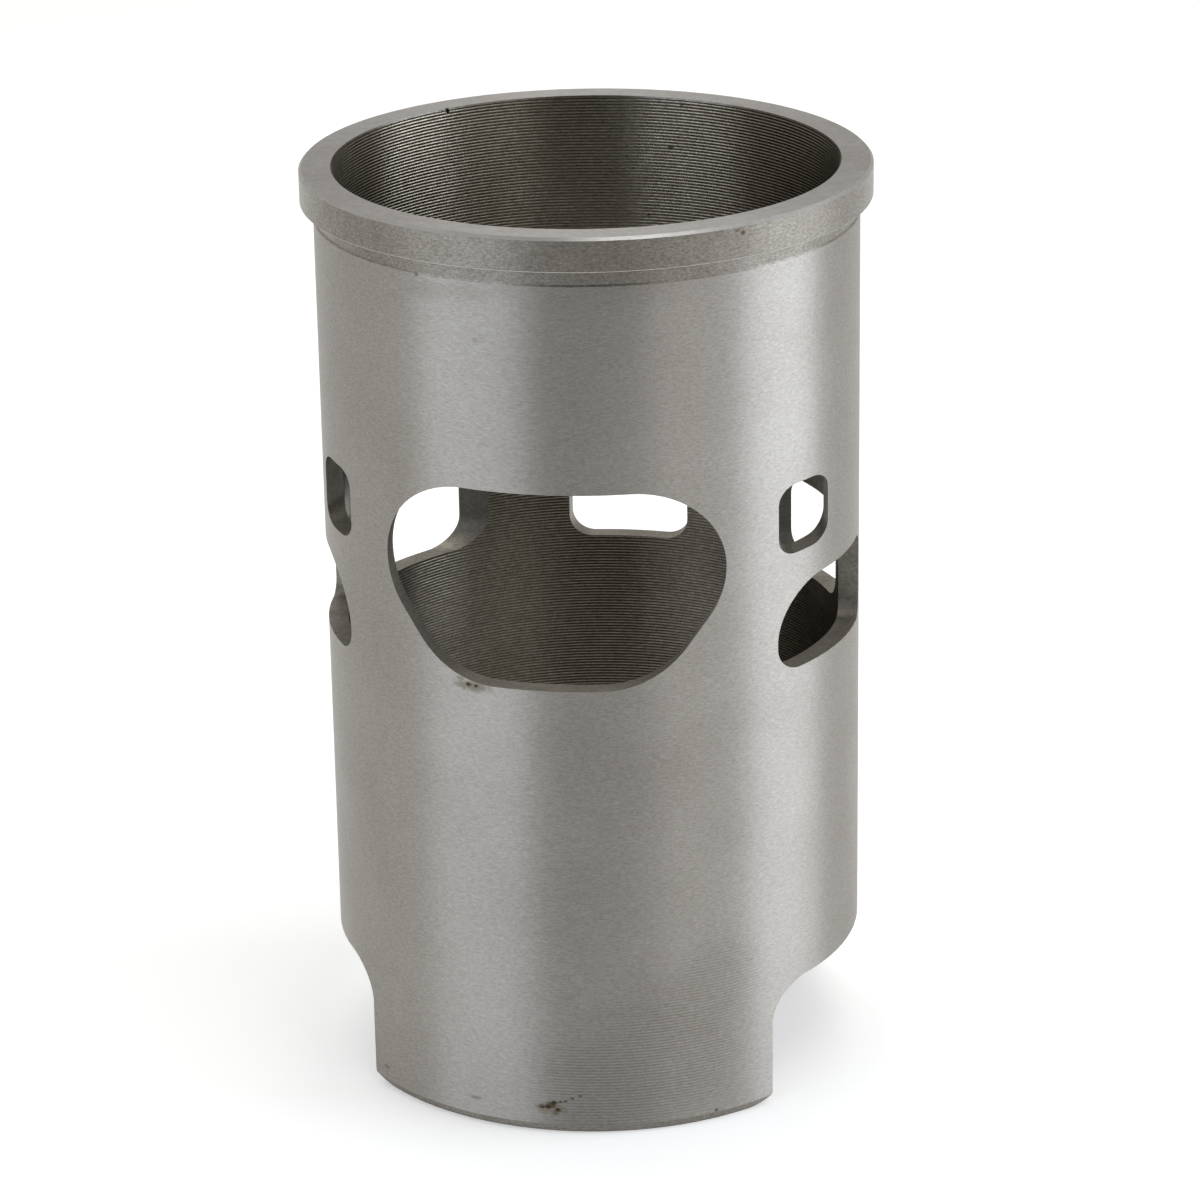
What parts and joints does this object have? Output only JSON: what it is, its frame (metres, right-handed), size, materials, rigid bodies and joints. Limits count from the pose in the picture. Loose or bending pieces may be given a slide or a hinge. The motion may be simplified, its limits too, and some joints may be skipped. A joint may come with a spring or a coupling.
{
  "type": "cylinder liner",
  "caption": "Flanged cylinder liner of a two-stroke engine, with exhaust, booster and transfer ports cut through its wall and an arched skirt.",
  "frame": {"origin": "on the bore axis, in the plane of the skirt's two feet, on which the liner stands", "axes": "+Z along the bore axis from the skirt to the flange and deck face; -Y towards the exhaust port; +Y towards the boost port; +X to the right when the exhaust port is seen from the front"},
  "size_m": [0.0918, 0.0918, 0.1515],
  "materials": {
    "turned_iron": "fine turned and ground, dry, unpainted"
  },
  "bodies": {
    "root": {"liner": "turned_iron"}
  },
  "joints": []
}
